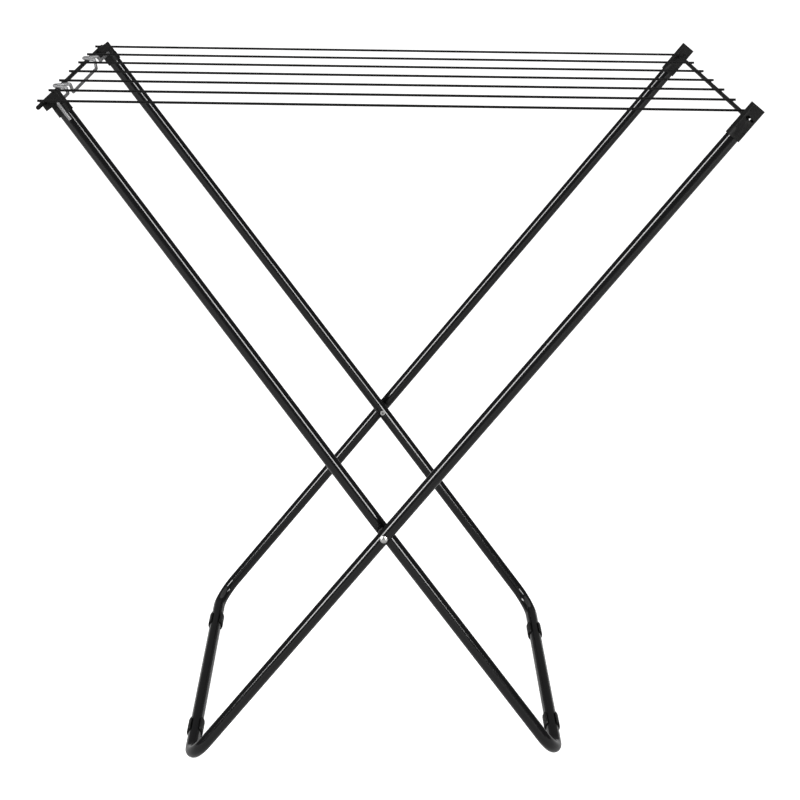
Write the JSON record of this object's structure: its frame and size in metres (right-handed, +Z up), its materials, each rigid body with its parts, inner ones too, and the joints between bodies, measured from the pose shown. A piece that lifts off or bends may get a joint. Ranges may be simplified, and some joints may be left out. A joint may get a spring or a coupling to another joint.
{
  "type": "folding clothes airer",
  "caption": "Free-standing folding clothes airer: two crossed tube frames carry a flat wire rack, hinged at one end and held by a wire bail at the other.",
  "frame": {"origin": "bottom centre of the bounding box, on the floor", "axes": "+Z up, +X towards the rack's hinged end, +Y towards the rear leg pair"},
  "size_m": [0.9006, 0.5788, 0.9294],
  "materials": {
    "painted_tube": "gloss",
    "black_plastic": "satin",
    "rivet_steel": "bright",
    "washer_plastic": "matt",
    "zinc_wire": "satin zinc",
    "coated_wire": "satin"
  },
  "bodies": {
    "outer_frame": {"outer_frame_tube": "painted_tube", "outer_cap_front": "black_plastic", "outer_cap_rear": "black_plastic", "outer_foot_front": "black_plastic", "outer_foot_rear": "black_plastic", "pivot_rivet_front": "rivet_steel", "pivot_rivet_rear": "rivet_steel", "pivot_washer_front": "washer_plastic", "pivot_washer_rear": "washer_plastic"},
    "inner_frame": {"inner_frame_tube": "painted_tube", "inner_cap_front": "black_plastic", "inner_cap_rear": "black_plastic", "inner_foot_front": "black_plastic", "inner_foot_rear": "black_plastic"},
    "airer_rack": {"hinge_rod": "coated_wire", "seat_rod": "coated_wire", "rack_wire_1": "coated_wire", "rack_wire_2": "coated_wire", "rack_wire_3": "coated_wire", "rack_wire_4": "coated_wire", "rack_wire_5": "coated_wire", "rack_wire_6": "coated_wire", "rack_wire_7": "coated_wire"},
    "locking_bail": {"lock_bail": "zinc_wire"}
  },
  "joints": [
    {"name": "leg_fold", "type": "hinge", "parent": "outer_frame", "child": "inner_frame", "pos_m": [-0.0125, 0, 0.3455], "axis": [0, 1, 0], "range_deg": [0, 64]},
    {"name": "rack_fold", "type": "hinge", "parent": "outer_frame", "child": "airer_rack", "pos_m": [0.4295, 0, 0.9115], "axis": [0, 1, 0], "range_deg": [0, 30.72]},
    {"name": "bail_lift", "type": "hinge", "parent": "inner_frame", "child": "locking_bail", "pos_m": [-0.4265, 0, 0.9105], "axis": [0, 1, 0], "range_deg": [0, 35]}
  ],
  "couplings": [
    {"joint": "rack_fold", "follows": "leg_fold", "ratio": 0.48}
  ]
}
